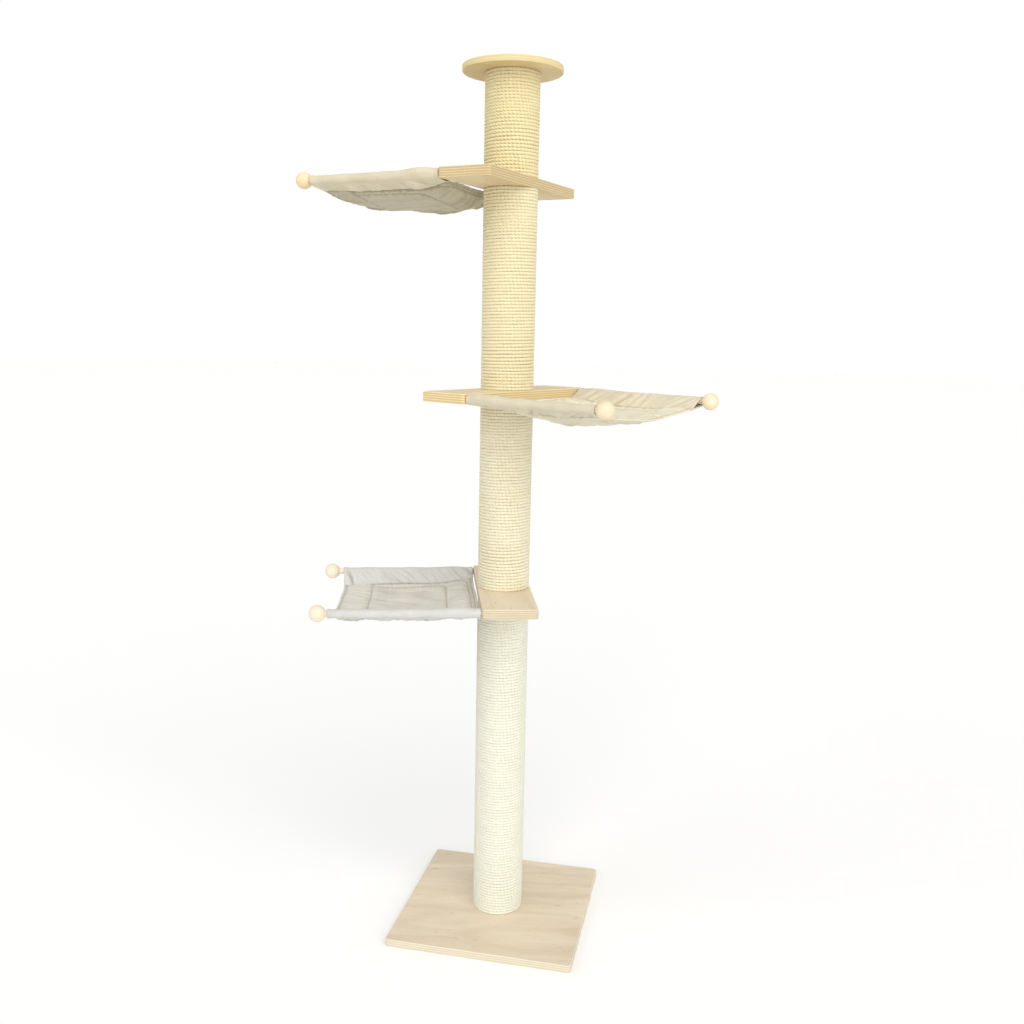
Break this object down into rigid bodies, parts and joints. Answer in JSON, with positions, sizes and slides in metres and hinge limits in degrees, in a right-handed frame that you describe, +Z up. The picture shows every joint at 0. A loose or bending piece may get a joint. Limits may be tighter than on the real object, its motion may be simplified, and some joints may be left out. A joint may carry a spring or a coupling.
{
  "type": "cat tree",
  "caption": "Floor-to-ceiling cat tree: rope-wound post on a square plywood foot, swivelling boards with quilted hammocks slung between ball-ended dowels, and a round jacked ceiling plate.",
  "frame": {"origin": "on the floor, at the centre of the square foot's underside, which is also the post's axis", "axes": "+Z up along the post; X and Y along the edges of the square foot"},
  "size_m": [1.079, 0.797, 2.263],
  "materials": {
    "foot_plywood": "sanded birch plywood, clear matt lacquer",
    "birch_plywood": "sanded birch plywood, raw",
    "softwood": "turned pine",
    "beech": "turned beech, raw",
    "sisal": "twisted sisal rope, natural",
    "pale_sisal": "twisted sisal rope, bleached",
    "cardboard": "spiral-wound kraft board",
    "zinc_steel": "bright zinc plate",
    "cotton_canvas": "quilted cotton canvas, off-white",
    "felt": "wool felt"
  },
  "bodies": {
    "root": {"foot_plate": "foot_plywood", "foot_screws": "zinc_steel", "lowest_post_tube": "cardboard", "lowest_post_sisal_winding": "pale_sisal", "lowest_post_bottom_plug": "softwood", "lowest_post_top_plug": "softwood", "lowest_post_top_tee_nut": "zinc_steel", "second_post_tube": "cardboard", "second_post_sisal_winding": "sisal", "second_post_bottom_plug": "softwood", "second_post_top_plug": "softwood", "second_post_bottom_tee_nut": "zinc_steel", "second_post_top_tee_nut": "zinc_steel", "third_post_tube": "cardboard", "third_post_sisal_winding": "sisal", "third_post_bottom_plug": "softwood", "third_post_top_plug": "softwood", "third_post_bottom_tee_nut": "zinc_steel", "third_post_top_tee_nut": "zinc_steel", "top_post_tube": "cardboard", "top_post_sisal_winding": "sisal", "top_post_bottom_plug": "softwood", "top_post_top_plug": "softwood", "top_post_bottom_tee_nut": "zinc_steel", "jack_nut": "zinc_steel", "lower_joining_stud": "zinc_steel", "middle_joining_stud": "zinc_steel", "upper_joining_stud": "zinc_steel"},
    "lower_platform": {"lower_board": "birch_plywood", "lower_left_dowel": "beech", "lower_right_dowel": "beech"},
    "lower_hammock": {"lower_hammock": "cotton_canvas"},
    "lower_left_ball": {"lower_left_ball": "beech"},
    "lower_right_ball": {"lower_right_ball": "beech"},
    "middle_platform": {"middle_board": "birch_plywood", "middle_left_dowel": "beech", "middle_right_dowel": "beech"},
    "middle_hammock": {"middle_hammock": "cotton_canvas"},
    "middle_left_ball": {"middle_left_ball": "beech"},
    "middle_right_ball": {"middle_right_ball": "beech"},
    "upper_platform": {"upper_board": "birch_plywood", "upper_left_dowel": "beech", "upper_right_dowel": "beech"},
    "upper_hammock": {"upper_hammock": "cotton_canvas"},
    "upper_left_ball": {"upper_left_ball": "beech"},
    "upper_right_ball": {"upper_right_ball": "beech"},
    "jack_spindle": {"jack_spindle": "zinc_steel"},
    "ceiling_plate": {"ceiling_plate": "birch_plywood", "spindle_flange": "zinc_steel", "flange_screws": "zinc_steel", "ceiling_pad": "felt"}
  },
  "joints": [
    {"name": "lower_platform_swivel", "type": "hinge", "parent": "root", "child": "lower_platform", "pos_m": [0, 0, 0.946], "axis": [0, 0, 1], "continuous": true},
    {"name": "lower_hammock_slide", "type": "slide", "parent": "lower_platform", "child": "lower_hammock", "axis": [-0.9563, -0.2924, 0], "range_m": [0, 0.41]},
    {"name": "lower_left_ball_pull", "type": "slide", "parent": "lower_platform", "child": "lower_left_ball", "axis": [-0.9563, -0.2924, 0], "range_m": [0, 0.48]},
    {"name": "lower_right_ball_pull", "type": "slide", "parent": "lower_platform", "child": "lower_right_ball", "axis": [-0.9563, -0.2924, 0], "range_m": [0, 0.48]},
    {"name": "middle_platform_swivel", "type": "hinge", "parent": "root", "child": "middle_platform", "pos_m": [0, 0, 1.471], "axis": [0, 0, 1], "continuous": true},
    {"name": "middle_hammock_slide", "type": "slide", "parent": "middle_platform", "child": "middle_hammock", "axis": [0.8796, -0.4756, 0], "range_m": [0, 0.41]},
    {"name": "middle_left_ball_pull", "type": "slide", "parent": "middle_platform", "child": "middle_left_ball", "axis": [0.8796, -0.4756, 0], "range_m": [0, 0.48]},
    {"name": "middle_right_ball_pull", "type": "slide", "parent": "middle_platform", "child": "middle_right_ball", "axis": [0.8796, -0.4756, 0], "range_m": [0, 0.48]},
    {"name": "upper_platform_swivel", "type": "hinge", "parent": "root", "child": "upper_platform", "pos_m": [0, 0, 1.996], "axis": [0, 0, 1], "continuous": true},
    {"name": "upper_hammock_slide", "type": "slide", "parent": "upper_platform", "child": "upper_hammock", "axis": [-0.9668, 0.2554, 0], "range_m": [0, 0.41]},
    {"name": "upper_left_ball_pull", "type": "slide", "parent": "upper_platform", "child": "upper_left_ball", "axis": [-0.9668, 0.2554, 0], "range_m": [0, 0.48]},
    {"name": "upper_right_ball_pull", "type": "slide", "parent": "upper_platform", "child": "upper_right_ball", "axis": [-0.9668, 0.2554, 0], "range_m": [0, 0.48]},
    {"name": "jack_rise", "type": "slide", "parent": "root", "child": "jack_spindle", "axis": [0, 0, 1], "range_m": [0, 0.0602]},
    {"name": "ceiling_plate_turn", "type": "hinge", "parent": "jack_spindle", "child": "ceiling_plate", "pos_m": [0, 0, 2.246], "axis": [0, 0, 1], "range_deg": [0, 5400]}
  ],
  "couplings": [
    {"joint": "lower_left_ball_pull", "follows": "lower_hammock_slide", "ratio": 1.15},
    {"joint": "lower_right_ball_pull", "follows": "lower_hammock_slide", "ratio": 1.15},
    {"joint": "middle_left_ball_pull", "follows": "middle_hammock_slide", "ratio": 1.15},
    {"joint": "middle_right_ball_pull", "follows": "middle_hammock_slide", "ratio": 1.15},
    {"joint": "upper_left_ball_pull", "follows": "upper_hammock_slide", "ratio": 1.15},
    {"joint": "upper_right_ball_pull", "follows": "upper_hammock_slide", "ratio": 1.15},
    {"joint": "jack_rise", "follows": "ceiling_plate_turn", "m_per_rad": 0.00063662}
  ]
}
